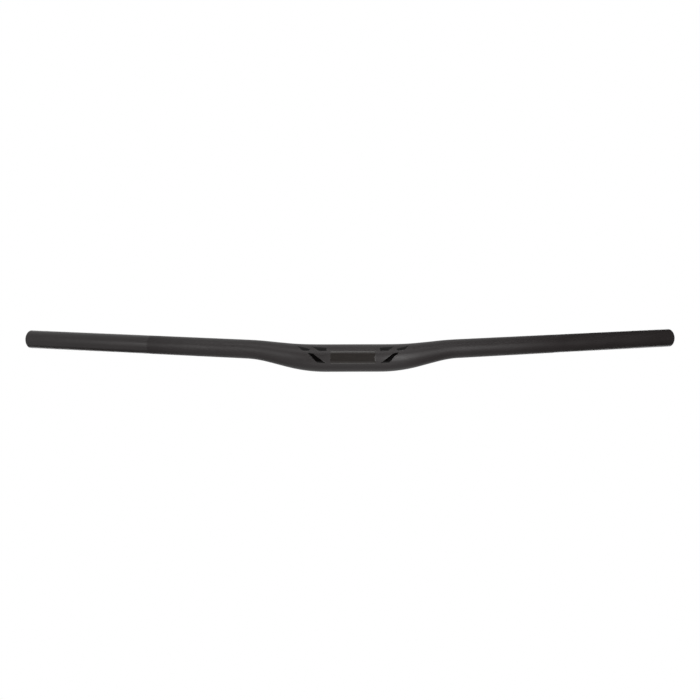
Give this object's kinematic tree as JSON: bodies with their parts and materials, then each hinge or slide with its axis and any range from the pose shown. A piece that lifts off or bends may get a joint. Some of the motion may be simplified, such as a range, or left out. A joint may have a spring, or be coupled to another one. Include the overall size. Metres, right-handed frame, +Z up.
{
  "type": "riser handlebar",
  "caption": "Low-rise mountain bike handlebar: a hollow round tube with a thick clamp zone, tapering bent shoulders and straight ends swept back and up.",
  "frame": {"origin": "on the bar's axis, in the middle of the clamp zone", "axes": "+X along the clamp zone to one end of the bar, +Y back towards the rider, +Z up, as fitted in a stem"},
  "size_m": [0.8038, 0.0796, 0.0642],
  "materials": {
    "satin_composite": "satin clear coat over dark carbon fibre"
  },
  "bodies": {
    "root": {"handlebar": "satin_composite"}
  },
  "joints": []
}
